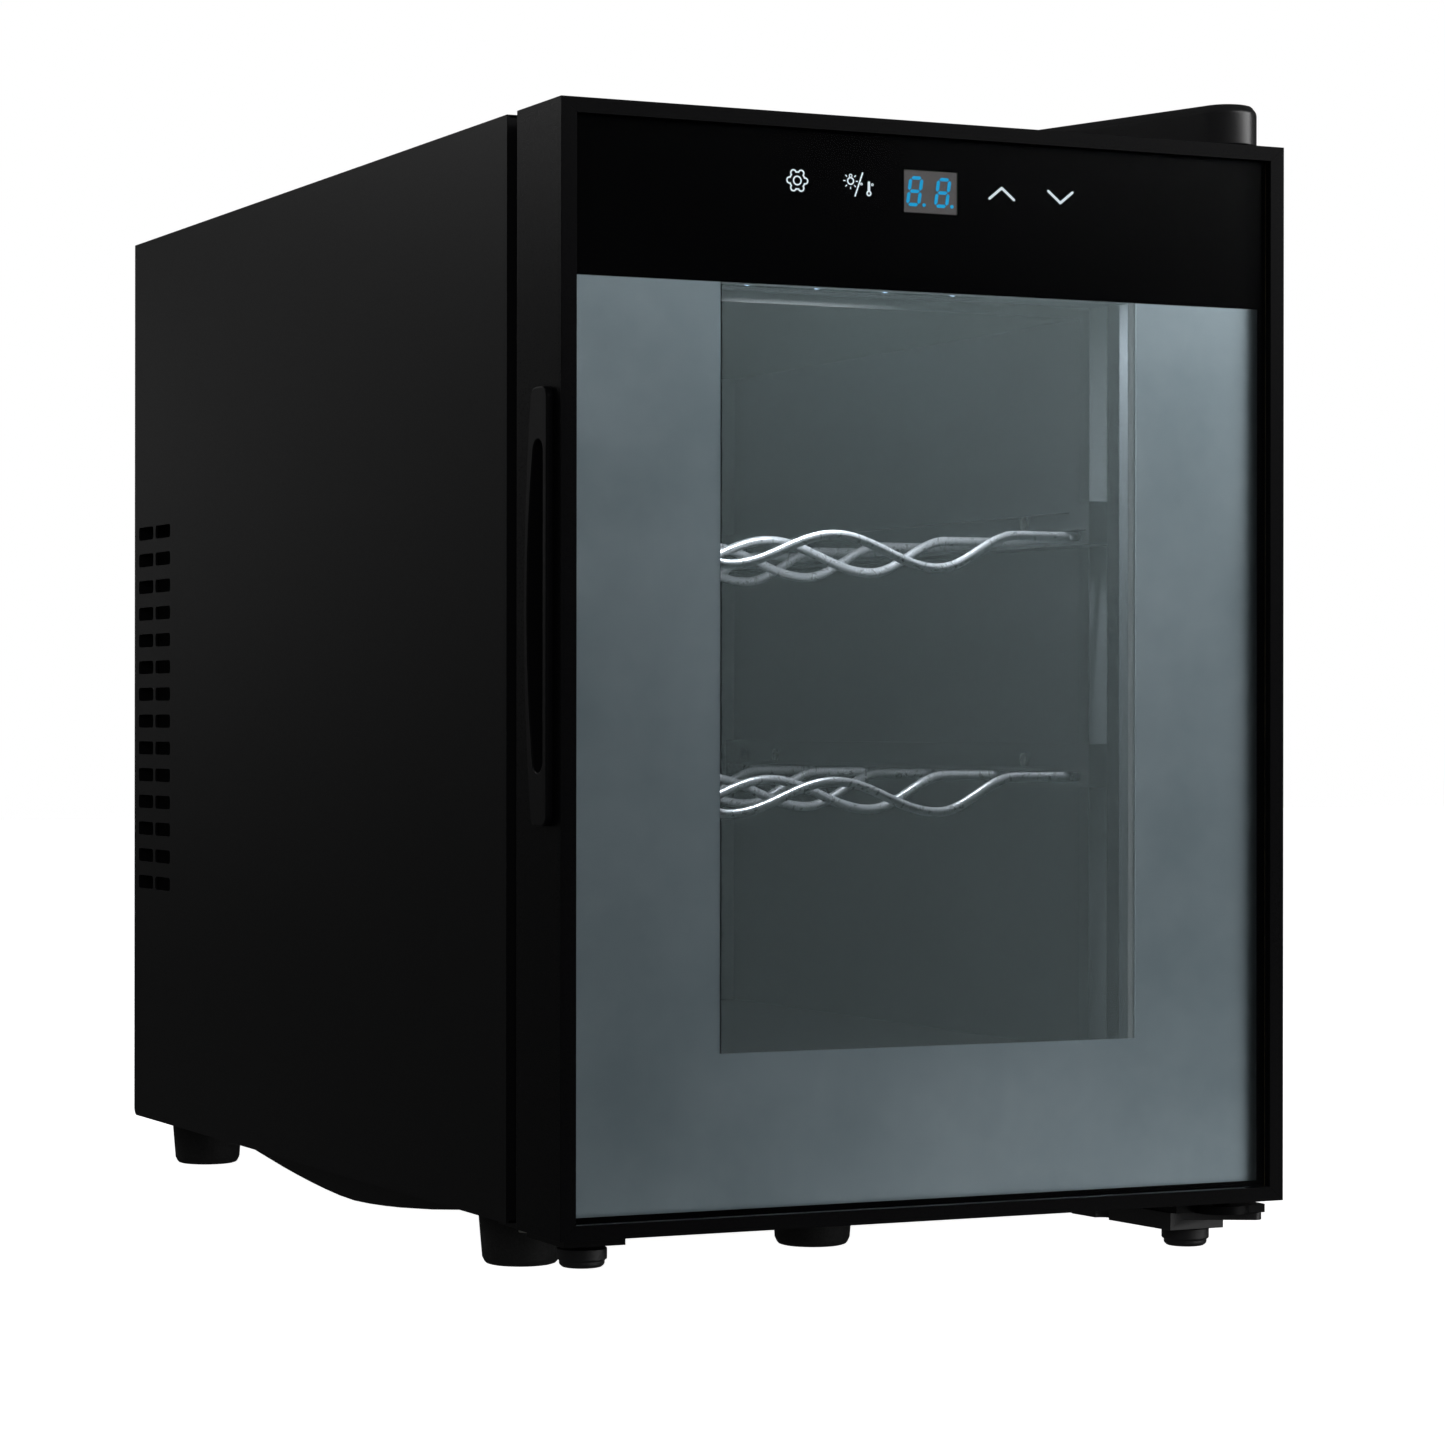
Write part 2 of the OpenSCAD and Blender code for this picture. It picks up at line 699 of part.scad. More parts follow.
module lower_hinge_bracket() {
    color(steel_black) {
        difference() {
            union() {
                block([94, 50, 16], [130, 92, base_z - 0.05]);
                block([104, 16, 13.2], [130, 52, 16.2]);
                rod_z(hinge_x, hinge_y, 10, 13.2, 16.2);
                block([118, 7, 13.2], [135, 22, 16.2]);
            }
            rod_z(level_x, level_y, stud_r + running, 10, 20);
            for (p = lower_screws) rod_z(p[0], p[1], 1.8, 10, 20);
        }
        rod_z(hinge_x, hinge_y, pin_r, 14, 26);
    }
}

// The plastic shoe under the lower hinge, deeper round the levelling foot.
module lower_hinge_cover() {
    color(plastic_black) difference() {
        union() {
            linear_extrude_at(6.8, 13.1) polygon([[104, 20], [126, 20], [129, 44], [129, 88], [97, 88]]);
            linear_extrude_at(10.4, 13.1) hull() {
                translate([132.5, 11]) circle(r = 3, $fn = 32);
                translate([132.5, 20]) circle(r = 3, $fn = 32);
                translate([108, 24]) circle(r = 3, $fn = 32);
            }
        }
        rod_z(level_x, level_y, 4, 0, 20);
        for (p = lower_screws) rod_z(p[0], p[1], 4, 0, 11);
        for (p = lower_screws) rod_z(p[0], p[1], 1.8, 0, 20);
    }
}

module linear_extrude_at(z0, z1) {
    translate([0, 0, z0]) linear_extrude(z1 - z0) children();
}

module upper_hinge_bracket() {
    z0 = top_z + 0.8;
    color([0.5, 0.5, 0.52]) {
        difference() {
            union() {
                linear_extrude_at(z0, z0 + 2.5)
                    polygon([[115.5, 14.2], [101, 62], [95, 80], [93, 96], [126, 96], [127.5, 14.2]]);
                rod_z(hinge_x, hinge_y, 6.4, z0, z0 + 2.5);
                block([100, 60, top_z + 0.02], [124, 95, z0 + 0.1]);
            }
            for (p = upper_screws) rod_z(p[0], p[1], 1.8, top_z - 1, z0 + 4);
        }
        rod_z(hinge_x, hinge_y, pin_r, top_z - 9, z0 + 2);
    }
}

// Plan of the upper hinge cover, drawn in by the given distance.
module cover_plan(inset) {
    hull() {
        translate([hinge_x + 1.2, hinge_y]) circle(r = 11 - inset, $fn = 48);
        for (x = [94, 124.5]) translate([x, 96]) circle(r = 8 - inset, $fn = 32);
    }
}

module upper_hinge_cover() {
    z0 = top_z + 0.5;
    z1 = top_z + 15;
    color(plastic_black) difference() {
        hull() {
            linear_extrude_at(z0, z1 - 2.6) cover_plan(0);
            linear_extrude_at(z1 - 0.2, z1) cover_plan(1.9);
        }
        linear_extrude_at(z0 - 1, z1 - 3) cover_plan(1.8);
    }
}

module hinge_screws() {
    color("silver") {
        for (p = upper_screws) translate([p[0], p[1], top_z + 3.35]) screw(3.4, 2, 1.5, 9);
        for (p = concat(lower_screws, foot_bracket_screws)) translate([p[0], p[1], 15.95])
            mirror([0, 0, 1]) screw(3.4, 2, 1.5, 9);
    }
}

// ---- Door ----

// The wedge that a mitred frame bar is cut to: across is true for the top and bottom bars.
module mitre(across) {
    high = top_z - door_z;
    k = 1.9;
    side = k * frame_side;
    rail = k * frame_rail;
    points = across
        ? [[-half_w, 0], [half_w, 0], [half_w - side, rail], [-half_w + side, rail]]
        : [[-half_w, 0], [-half_w + side, rail], [-half_w + side, high - rail], [-half_w, high]];
    translate([0, door_t + 1, door_z]) rotate([90, 0, 0]) linear_extrude(door_t + 2) polygon(points);
}

// A side bar: the wall, the front lip, and the rolled rear edge.
module stile() {
    intersection() {
        union() {
            block([-half_w, 0, door_z], [-half_w + frame_wall, door_t - 1, top_z]);
            block([-half_w, 0, door_z], [-half_w + frame_side, glass_y - 0.05, top_z]);
            block([-half_w + 1, door_t - 2, door_z], [-half_w + frame_wall, door_t, top_z]);
            rod_z(-half_w + 1, door_t - 1, 1, door_z, top_z);
        }
        mitre(false);
    }
}

module frame_left_stile() {
    color(plastic_black) difference() {
        stile();
        along_side(-half_w - 1, -half_w + 6) offset(delta = 1.3) bowed(slot_y, slot_z, slot_bow, 4);
    }
}

module frame_right_stile() {
    color(plastic_black) mirror([1, 0, 0]) stile();
}

// A bottom bar, with the hole for its hinge bush.
module bar() {
    difference() {
        intersection() {
            union() {
                block([-half_w, 0, door_z], [half_w, door_t - 1, door_z + frame_wall]);
                block([-half_w, 0, door_z], [half_w, glass_y - 0.05, door_z + frame_rail]);
                block([-half_w, door_t - 2, door_z + 1], [half_w, door_t, door_z + frame_wall]);
                translate([-half_w, door_t - 1, door_z + 1]) rotate([0, 90, 0]) cylinder(h = body_w, r = 1);
            }
            mitre(true);
        }
        rod_z(hinge_x, hinge_y, bush_r, door_z - 1, door_z + 4);
    }
}

module frame_bottom_rail() {
    color(plastic_black) bar();
}

module frame_top_rail() {
    color(plastic_black) translate([0, 0, top_z + door_z]) mirror([0, 0, 1]) bar();
}

// An outline in the Y-Z plane with a straight front edge and a bowed rear edge.
module bowed(ys, zs, bow, r) {
    half = (zs[1] - zs[0]) / 2;
    big = (half * half + bow * bow) / (2 * bow);
    offset(r = r, $fn = 48) offset(delta = -r) intersection() {
        translate([ys[0], zs[0]]) square([ys[1] + bow - ys[0], 2 * half]);
        translate([ys[1] + bow - big, zs[0] + half]) circle(r = big, $fn = 360);
    }
}

// Extrudes an outline of the Y-Z plane along X.
module along_side(x0, x1) {
    translate([x0, 0, 0]) rotate([90, 0, 90]) linear_extrude(x1 - x0) children();
}

// The finger grip: a raised plate on the door's side with a pocket sunk behind it.
module handle_insert() {
    outer = -half_w - handle_proud;
    color([0.03, 0.03, 0.032]) difference() {
        union() {
            along_side(outer, -half_w - 0.02) bowed(plate_y, plate_z, plate_bow, 4);
            along_side(-half_w - 0.1, -half_w + pocket_deep + 1.2)
                offset(delta = 1.2) bowed(slot_y, slot_z, slot_bow, 4);
        }
        along_side(outer - 1, -half_w + pocket_deep) bowed(slot_y, slot_z, slot_bow, 4);
    }
}

module outer_glass() {
    color([0.3, 0.34, 0.36, 0.3])
        block([-glass_half, glass_y, door_z + 2.2], [glass_half, glass_y + glass_t, top_z - 2.2]);
}

// The black print: the control band and the thin margin round the grey border.
module control_band() {
    y0 = glass_y + glass_t + 0.02;
    color("black") difference() {
        block([-glass_half, y0, door_z + 2.2], [glass_half, y0 + print_t, top_z - 2.2]);
        block([-print_half, y0 - 1, print_low], [print_half, y0 + 1, band_z]);
        block([display_x - 10.4, y0 - 1, display_z - 7.3], [display_x + 10.4, y0 + 1, display_z + 7.3]);
    }
}

// The grey metallic print round the clear window.
module border_print() {
    y0 = glass_y + glass_t + 0.02;
    color([0.36, 0.42, 0.46]) difference() {
        block([-print_half + 0.02, y0, print_low + 0.02], [print_half - 0.02, y0 + print_t, band_z - 0.02]);
        block([window_x - window_w / 2, y0 - 1, window_z], [window_x + window_w / 2, y0 + 1, band_z + 1]);
    }
}

module glazing_spacer() {
    color(alloy) ring_y(spacer_half + spacer_w, window_z - 6, 337.5, spacer_y, spacer_y + spacer_t,
                        spacer_half, window_z - 0.6, 331.5);
}

module inner_glass() {
    y0 = spacer_y + spacer_t + 0.05;
    color([0.7, 0.8, 0.8, 0.3]) block([-pane_half, y0, pane_low], [pane_half, y0 + inner_glass_t, pane_high]);
}

module door_foam() {
    out = half_w - frame_wall - 0.2;
    color([0.85, 0.8, 0.62]) difference() {
        block([-out, spacer_y + 0.1, door_low + 0.2], [out, 35.4, door_high - 0.2]);
        block([-pane_half - 0.3, 0, pane_low - 0.3], [pane_half + 0.3, liner_y + 0.1, pane_high + 0.3]);
        block([-liner_half - 2.3, 0, liner_low - 2.3], [liner_half + 2.3, 40, liner_high + 2.3]);
        block([-64, 0, 345], [64, 24, 384]);
        block([-half_w, 0, slot_z[0] - 3], [-half_w + pocket_deep + 3, 27, slot_z[1] + 3]);
        for (z = [door_z, top_z - 11]) rod_z(hinge_x, hinge_y, bush_r + 2, z - 1, z + 12);
    }
}

module door_liner() {
    out = half_w - frame_wall - 0.25;
    color([0.05, 0.05, 0.055]) {
        ring_y(out, door_low + 0.25, door_high - 0.25, 35.5, door_t - 0.5, liner_half, liner_low, liner_high);
        ring_y(liner_half + 2, liner_low - 2, liner_high + 2, liner_y, 35.6, liner_half, liner_low, liner_high);
    }
}

module door_gasket() {
    y0 = door_t - 0.48;
    y1 = cab_y - 0.25;
    low = throat_floor + 0.5;
    high = throat_top - 0.5;
    inner = gasket_half - gasket_w;
    color([0.02, 0.02, 0.022]) difference() {
        ring_y(gasket_half, low - gasket_w, high + gasket_w, y0, y1, inner, low, high);
        ring_y(gasket_half + 1, low - gasket_w - 1, high + gasket_w + 1, y0 + 2, y0 + 4,
               gasket_half - 2.5, low - gasket_w + 2.5, high + gasket_w - 2.5);
    }
}

module hinge_bushes() {
    color([0.15, 0.15, 0.16]) for (z = [door_z, top_z - 9]) difference() {
        rod_z(hinge_x, hinge_y, bush_r - 0.02, z, z + 9);
        rod_z(hinge_x, hinge_y, pin_r + running, z - 1, z + 10);
    }
}

module control_board() {
    color([0.08, 0.22, 0.12]) block([-58, 12.4, 347], [58, 14, 382]);
    color([0.7, 0.7, 0.72]) for (x = symbol_x) rod_y(x, symbol_z, 4, 7.9, 12.5);
}

module display_module() {
    color([0.14, 0.15, 0.16])
        block([display_x - 10.2, 7.95, display_z - 7.1], [display_x + 10.2, 12.3, display_z + 7.1]);
}

// A point of the display, sloped to the right with height.
function leant(p) = [p[0] + digit_lean * p[1], p[1]];

// One bar of a seven-segment digit from p to q, with pointed ends.
module segment(p, q) {
    along = (q - p) / norm(q - p);
    tip = along * stroke / 2;
    across = [-tip[1], tip[0]];
    a = p + along * segment_gap;
    b = q - along * segment_gap;
    ring = [a, a + tip + across, b - tip + across, b, b - tip - across, a + tip - across];
    polygon([for (v = ring) leant(v)]);
}

module display_digits() {
    w = (digit_w - stroke) / 2;
    h = (digit_h - stroke) / 2;
    color([0.1, 0.65, 0.95]) translate([display_x, 7.93, display_z]) rotate([90, 0, 0]) linear_extrude(0.3)
        for (x = digit_x) translate([x, 0]) {
            for (k = [-1, 0, 1]) segment([-w, k * h], [w, k * h]);
            for (s = [-1, 1], k = [-1, 0]) segment([s * w, k * h], [s * w, (k + 1) * h]);
            translate(leant([digit_w / 2 + 1.5, -digit_h / 2 + 0.6])) circle(r = 0.6, $fn = 24);
        }
}

// A drawn line with round ends.
module line(p, q, w) {
    d = q - p;
    translate(p) rotate(atan2(d[1], d[0])) translate([0, -w / 2]) square([norm(d), w]);
    for (e = [p, q]) translate(e) circle(r = w / 2, $fn = 24);
}

// A drawn circle.
module loop(r, w) {
    difference() {
        circle(r = r, $fn = 48);
        circle(r = r - w, $fn = 48);
    }
}

module chevron(up) {
    tip = up ? 1.9 : -1.9;
    line([-4.75, -tip], [0, tip], chevron_w);
    line([0, tip], [4.75, -tip], chevron_w);
}

// A cog with six round teeth.
module gear_outline(r, tooth_r) {
    circle(r = r, $fn = 64);
    for (a = [0 : 60 : 300]) rotate(a) translate([gear_r, 0]) circle(r = tooth_r, $fn = 32);
}

module gear_symbol() {
    difference() {
        gear_outline(3.1, 1.25);
        gear_outline(3.1 - symbol_line, 1.25 - symbol_line);
    }
    loop(1.65, symbol_line);
}

// A lamp with rays, a slanting stroke, and a thermometer with two degree rings.
module lamp_and_heat_symbol() {
    translate([-3.1, 1]) {
        loop(1.35, symbol_line);
        translate([0, 1.75]) loop(0.65, 0.3);
        for (a = [-180 : 45 : 45]) rotate(a) translate([1.95, -0.18]) square([0.8, 0.36]);
        rotate(135) translate([1.95, -0.18]) square([0.8, 0.36]);
    }
    line([-1.4, -3.9], [1.4, 3.9], symbol_line);
    translate([3.8, -2.8]) {
        loop(0.95, symbol_line);
        line([0, 1], [0, 3.6], 0.9);
    }
    for (x = [0.95, 5.1]) translate([x, 0.2]) loop(0.45, 0.25);
}

module touch_symbols() {
    color([0.78, 0.84, 0.88]) translate([0, symbol_y + symbol_t, symbol_z]) rotate([90, 0, 0])
        linear_extrude(symbol_t) {
            translate([symbol_x[0], 0]) gear_symbol();
            translate([symbol_x[1], 0]) lamp_and_heat_symbol();
            translate([symbol_x[2], 0]) chevron(true);
            translate([symbol_x[3], 0]) chevron(false);
        }
}

in_frame() left_side_panel();
in_frame() right_side_panel();
in_frame() top_panel();
in_frame() base_pan();
in_frame() throat_frame();
in_frame() inner_liner();
in_frame() foam_insulation();
in_frame() rear_bulkhead();
in_frame() rear_cover();
in_frame() cover_screws();
in_frame() cold_sink();
in_frame() inner_fan_cover();
in_frame() inner_fan_frame();
in_frame() inner_fan_rotor();
in_frame() thermoelectric_module();
in_frame() module_gasket();
in_frame() hot_sink();
in_frame() sink_screws();
in_frame() rear_fan_frame();
in_frame() rear_fan_rotor();
in_frame() fan_screws();
in_frame() power_board();
in_frame() board_pillars();
in_frame() power_inlet();
in_frame() lamp_board();
in_frame() lamp_lens();
in_frame() thermistor();
in_frame() upper_shelf_rails();
in_frame() lower_shelf_rails();
in_frame() rail_screws();
in_frame() upper_shelf();
in_frame() lower_shelf();
in_frame() cabinet_feet();
in_frame() foot_screws();
in_frame() right_levelling_foot();
in_frame() left_levelling_foot();
in_frame() foot_bracket();
in_frame() upper_hinge_bracket();
in_frame() upper_hinge_cover();
in_frame() lower_hinge_bracket();
in_frame() lower_hinge_cover();
in_frame() hinge_screws();
in_frame() frame_left_stile();
in_frame() frame_right_stile();
in_frame() frame_top_rail();
in_frame() frame_bottom_rail();
in_frame() outer_glass();
in_frame() control_band();
in_frame() border_print();
in_frame() glazing_spacer();
in_frame() inner_glass();
in_frame() door_foam();
in_frame() door_liner();
in_frame() door_gasket();
in_frame() hinge_bushes();
in_frame() handle_insert();
in_frame() control_board();
in_frame() display_module();
in_frame() display_digits();
in_frame() touch_symbols();
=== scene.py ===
"""Looks for the wine cooler: materials, finished meshes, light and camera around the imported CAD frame."""
import bpy
import bmesh
import json
import math
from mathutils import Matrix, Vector

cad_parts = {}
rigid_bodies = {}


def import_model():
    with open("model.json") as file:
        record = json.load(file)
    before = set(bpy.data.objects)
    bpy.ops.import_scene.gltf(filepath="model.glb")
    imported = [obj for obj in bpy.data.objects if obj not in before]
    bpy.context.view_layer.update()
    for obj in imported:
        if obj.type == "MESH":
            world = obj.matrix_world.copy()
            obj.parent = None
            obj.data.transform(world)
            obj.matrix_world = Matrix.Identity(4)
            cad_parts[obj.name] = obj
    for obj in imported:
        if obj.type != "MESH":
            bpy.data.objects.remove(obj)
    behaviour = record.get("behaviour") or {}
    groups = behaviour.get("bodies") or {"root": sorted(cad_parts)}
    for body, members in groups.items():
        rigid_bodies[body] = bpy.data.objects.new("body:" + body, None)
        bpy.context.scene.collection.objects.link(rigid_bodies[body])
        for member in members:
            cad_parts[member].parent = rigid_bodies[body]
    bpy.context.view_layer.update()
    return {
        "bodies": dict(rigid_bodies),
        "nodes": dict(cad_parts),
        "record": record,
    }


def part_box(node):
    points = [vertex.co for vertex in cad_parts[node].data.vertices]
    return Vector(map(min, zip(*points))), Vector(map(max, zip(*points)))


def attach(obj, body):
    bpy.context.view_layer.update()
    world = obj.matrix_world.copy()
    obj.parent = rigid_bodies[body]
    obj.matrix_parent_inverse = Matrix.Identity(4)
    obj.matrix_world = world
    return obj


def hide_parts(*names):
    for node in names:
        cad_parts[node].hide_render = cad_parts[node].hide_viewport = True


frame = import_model()
NODES = frame["nodes"]
BODY_OF = {n: b for b, names in frame["record"]["behaviour"]["bodies"].items() for n in names}
MM = 0.001


# ---------------------------------------------------------------- materials

def srgb(r, g, b):
    """A linear colour from 0-255 display values."""
    def channel(v):
        v /= 255
        return v / 12.92 if v <= 0.04045 else ((v + 0.055) / 1.055) ** 2.4
    return (channel(r), channel(g), channel(b), 1.0)


def new_material(name):
    material = bpy.data.materials.new(name)
    material.use_nodes = True
    tree = material.node_tree
    shader = tree.nodes["Principled BSDF"]
    return material, tree, shader


def noise(tree, scale, detail=3.0, rough=0.5, stretch=(1, 1, 1)):
    """A noise texture in the object's own metres; stretch below 1 draws it out along an axis."""
    place = tree.nodes.new("ShaderNodeTexCoord")
    mapping = tree.nodes.new("ShaderNodeMapping")
    mapping.inputs["Scale"].default_value = stretch
    texture = tree.nodes.new("ShaderNodeTexNoise")
    texture.inputs["Scale"].default_value = scale
    texture.inputs["Detail"].default_value = detail
    texture.inputs["Roughness"].default_value = rough
    tree.links.new(place.outputs["Object"], mapping.inputs["Vector"])
    tree.links.new(mapping.outputs["Vector"], texture.inputs["Vector"])
    return texture.outputs["Fac"]


def spread(tree, value, low, high):
    """Maps a 0.3-0.7 noise value to the range low-high."""
    node = tree.nodes.new("ShaderNodeMapRange")
    node.inputs["From Min"].default_value = 0.3
    node.inputs["From Max"].default_value = 0.7
    node.inputs["To Min"].default_value = low
    node.inputs["To Max"].default_value = high
    tree.links.new(value, node.inputs["Value"])
    return node.outputs["Result"]


def blend_colours(tree, value, dark, light):
    """A colour between dark and light, by value."""
    node = tree.nodes.new("ShaderNodeMix")
    node.data_type = "RGBA"
    node.inputs["A"].default_value = dark
    node.inputs["B"].default_value = light
    tree.links.new(value, node.inputs["Factor"])
    return node.outputs["Result"]


def bump(tree, shader, value, distance, strength=1.0):
    """Lifts the shader's surface by value, up to distance in metres."""
    node = tree.nodes.new("ShaderNodeBump")
    node.inputs["Strength"].default_value = strength
    node.inputs["Distance"].default_value = distance
    tree.links.new(value, node.inputs["Height"])
    tree.links.new(node.outputs["Normal"], shader.inputs["Normal"])


def surface(name, colour, rough, vary=0.12, rough_vary=0.05, metallic=0.0, grain=900, grain_depth=0.00002,
            cloud=9.0, stretch=(1, 1, 1), **sockets):
    """A surface with a clouded colour, a varying roughness and a fine grain that lifts the surface."""
    material, tree, shader = new_material(name)
    dark = tuple(c * (1 - vary) for c in colour[:3]) + (1.0,)
    light = tuple(min(1.0, c * (1 + vary)) for c in colour[:3]) + (1.0,)
    large = noise(tree, cloud, 4.0)
    fine = noise(tree, grain, 2.0, 0.6, stretch)
    tree.links.new(blend_colours(tree, spread(tree, large, 0, 1), dark, light), shader.inputs["Base Color"])
    tree.links.new(spread(tree, fine, rough - rough_vary, rough + rough_vary), shader.inputs["Roughness"])
    shader.inputs["Metallic"].default_value = metallic
    if grain_depth:
        bump(tree, shader, fine, grain_depth)
    for socket, value in sockets.items():
        shader.inputs[socket.replace("_", " ")].default_value = value
    return material


def glow(name, colour, strength, rough=0.3):
    """A surface giving off light whose brightness breaks up slightly, as a diffuser's does; on the display window
    and the silver symbols this glow is painted light.
    """
    material, tree, shader = new_material(name)
    shader.inputs["Base Color"].default_value = colour
    shader.inputs["Roughness"].default_value = rough
    shader.inputs["Emission Color"].default_value = colour
    value = spread(tree, noise(tree, 400, 2.0), strength * 0.9, strength * 1.1)
    tree.links.new(value, shader.inputs["Emission Strength"])
    return material


def pane(name, colour, alpha, rough=0.03, specular=0.5, metallic=0.0):
    """Glass that lets light straight through, with a faint ripple in its gloss."""
    material, tree, shader = new_material(name)
    shader.inputs["Base Color"].default_value = colour
    shader.inputs["Alpha"].default_value = alpha
    shader.inputs["IOR"].default_value = 1.5
    shader.inputs["Specular IOR Level"].default_value = specular
    shader.inputs["Metallic"].default_value = metallic
    ripple = noise(tree, 60, 2.0)
    tree.links.new(spread(tree, ripple, rough * 0.98, rough * 1.02), shader.inputs["Roughness"])
    return material


def grained_print(name, dark, light, rough):
    """The metallic grey print behind the glass: a fine irregular grain over soft clouds."""
    material, tree, shader = new_material(name)
    fine = spread(tree, noise(tree, 1500, 3.0, 0.7), 0, 1)
    large = spread(tree, noise(tree, 14, 4.0, 0.6), 0.25, 0.75)
    mixed = tree.nodes.new("ShaderNodeMath")
    mixed.operation = "MULTIPLY_ADD"
    mixed.inputs[1].default_value = 0.1
    tree.links.new(fine, mixed.inputs[0])
    tree.links.new(large, mixed.inputs[2])
    tree.links.new(blend_colours(tree, mixed.outputs[0], dark, light), shader.inputs["Base Color"])
    sheen = spread(tree, noise(tree, 700, 2.0), rough - 0.008, rough + 0.008)
    tree.links.new(sheen, shader.inputs["Roughness"])
    shader.inputs["Metallic"].default_value = 0.96
    return material


M = {
    "shell": surface("powder_coat", srgb(9, 9, 10), 0.36, 0.1, 0.05, grain=2600, grain_depth=0.00001,
                     Specular_IOR_Level=0.075),
    "shell_top": surface("powder_coat_top", srgb(24, 24, 25), 0.5, 0.1, 0.07, grain=2600, grain_depth=0.00003),
    "frame": surface("frame_black", srgb(5, 5, 6), 0.3, 0.1, 0.05, grain=3200, grain_depth=0.00001,
                     Specular_IOR_Level=0.05),
    "handle": surface("handle_black", srgb(6, 6, 7), 0.4, 0.1, 0.05, grain=3600, grain_depth=0.000015,
                      Specular_IOR_Level=0.1),
    "hinge": surface("hinge_cover_black", srgb(24, 24, 25), 0.33, 0.1, 0.06, grain=1800, grain_depth=0.00001),
    "black": surface("moulded_black", srgb(22, 22, 23), 0.5, 0.15, 0.08, grain=1600, grain_depth=0.00004),
    "fan": surface("fan_black", srgb(20, 20, 21), 0.4, 0.12, 0.06, grain=1200, grain_depth=0.00002),
    "rubber": surface("rubber_black", srgb(19, 19, 19), 0.72, 0.2, 0.08, grain=1400, grain_depth=0.00005),
    "liner": surface("liner_sheet", srgb(22, 24, 25), 0.5, 0.03, 0.05, grain=1300, grain_depth=0.00002),
    # painted light: the throat's grey plastic is drawn much lighter than the liner beside it, brightened to stand
    # in for the light its wall catches near the door
    "throat": surface("grey_throat_with_painted_light", srgb(94, 99, 101), 0.5, 0.1, 0.08, grain=1500, grain_depth=0.00003),
    "rail": surface("rail_black", srgb(24, 26, 27), 0.38, 0.12, 0.06, grain=1700, grain_depth=0.00002),
    "white": surface("white_plastic", srgb(212, 212, 208), 0.45, 0.06, 0.05, grain=1400, grain_depth=0.00002),
    "chrome": surface("chrome_wire", srgb(232, 235, 238), 0.3, 0.04, 0.05, 0.55, grain=500, grain_depth=0.00001),
    "zinc": surface("zinc_plate", srgb(165, 166, 160), 0.34, 0.15, 0.1, 1.0, grain=900, grain_depth=0.00002),
    "galvanised": surface("galvanised", srgb(120, 123, 126), 0.42, 0.3, 0.12, 1.0, grain=160, cloud=40),
    "alloy": surface("extruded_alloy", srgb(128, 132, 136), 0.36, 0.08, 0.08, 1.0, grain=900, stretch=(1, 1, 0.05)),
    "spacer": surface("spacer_alloy", srgb(128, 134, 138), 0.5, 0.06, 0.06, 0.7, grain=900, stretch=(1, 1, 0.05)),
    "board": surface("solder_mask", srgb(22, 74, 38), 0.35, 0.2, 0.06, grain=700, grain_depth=0.00002),
    "foam": surface("rigid_foam", srgb(214, 198, 150), 0.9, 0.12, 0.05, grain=500, grain_depth=0.0002),
    "ceramic": surface("alumina", srgb(225, 225, 220), 0.55, 0.05, 0.05, grain=900),
    "black_print": surface("fired_black_print", srgb(4, 4, 5), 0.6, 0.2, 0.03, grain=900, grain_depth=0.0,
                           Specular_IOR_Level=0.0),
    "grey_print": grained_print("fired_grey_print", srgb(132, 150, 160), srgb(184, 201, 208), 0.3),
    # painted glow: the display window is no lamp, its grey is given off as light instead of being lit
    "display": glow("display_window_painted_glow", srgb(76, 74, 74), 0.75),
    # painted glow: the printed silver symbols give off light though they are no lamp; the blue digits below are
    # real lit segments
    "symbol": glow("silver_symbol_painted_glow", srgb(204, 216, 222), 0.62, 0.5),
    "digit": glow("display_blue", srgb(0, 148, 200), 0.95),
    "lamp": surface("lamp_board_white", srgb(200, 206, 212), 0.5, 0.05, 0.05, grain=1200, grain_depth=0.00001),
    "led": glow("led_chip", srgb(190, 220, 255), 6.0),
    "diffuser": pane("lamp_diffuser", srgb(200, 215, 230), 0.12, 0.2),
    "door_glass": pane("door_glass", srgb(8, 9, 10), 0.15, 0.02, 0.2),
    "clear_glass": pane("clear_glass", srgb(10, 12, 12), 0.05, 0.2, specular=0.04),
    "coating": pane("window_coating", srgb(176, 196, 200), 0.12, 0.34, metallic=1.0),
}

